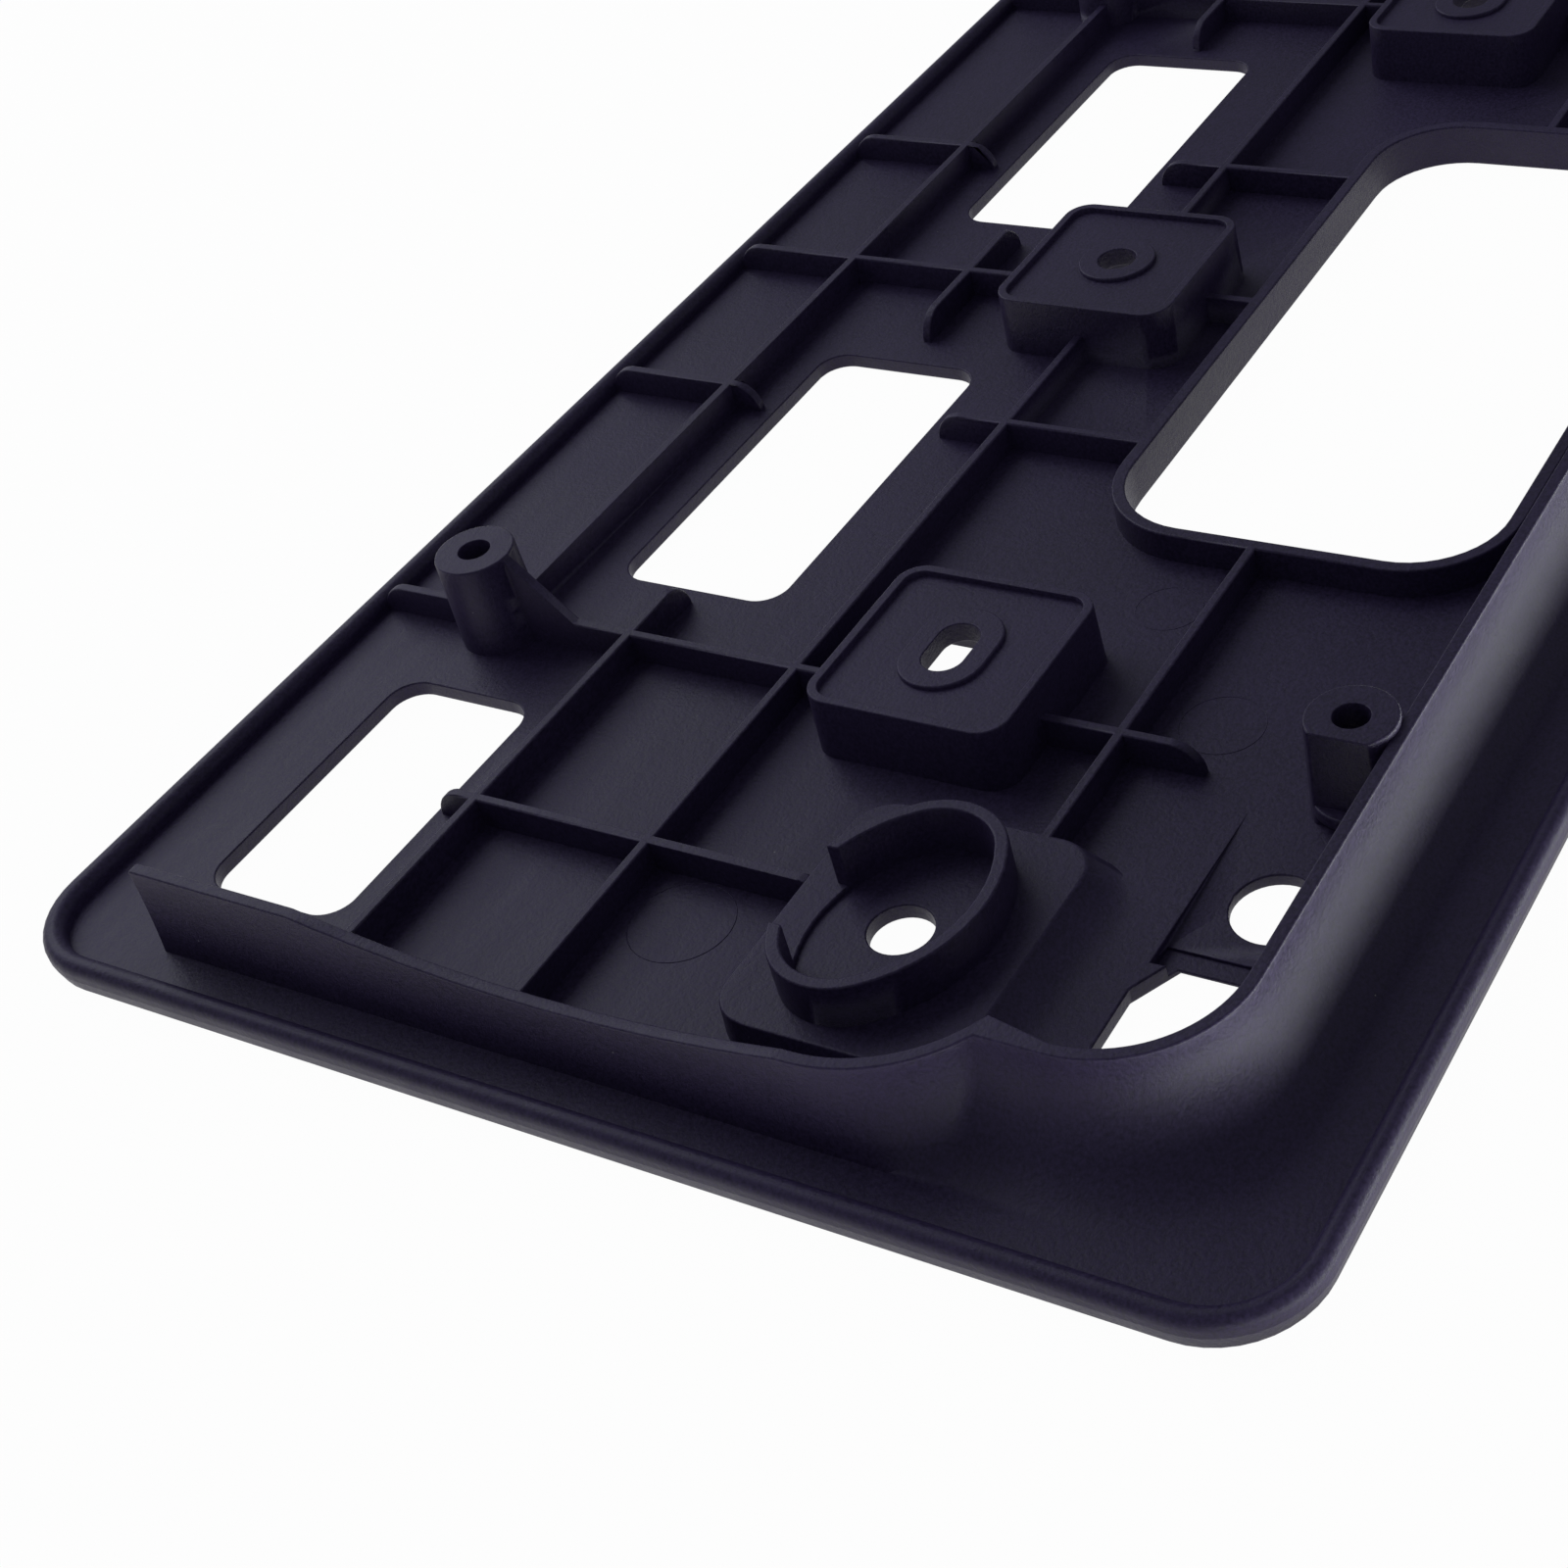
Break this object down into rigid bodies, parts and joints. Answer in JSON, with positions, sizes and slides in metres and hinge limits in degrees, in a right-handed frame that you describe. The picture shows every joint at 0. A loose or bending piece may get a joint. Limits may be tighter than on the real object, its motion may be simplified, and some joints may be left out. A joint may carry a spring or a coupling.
{
  "type": "number plate holder",
  "caption": "Flat rectangular number plate holder, one plastic moulding, with ribs, screw bosses, raised mounting pads, open windows and a curved skirt on its back.",
  "frame": {"origin": "centre of the rectangular outline, in the front plane that meets the number plate", "axes": "+X along the length, +Y across the width towards the edge without the skirt, +Z from the plate side to the ribbed back"},
  "size_m": [0.3192, 0.165, 0.015],
  "materials": {
    "plate_holder": "moulded black plastic with a fine grain"
  },
  "bodies": {
    "root": {"plate_holder": "plate_holder"}
  },
  "joints": []
}
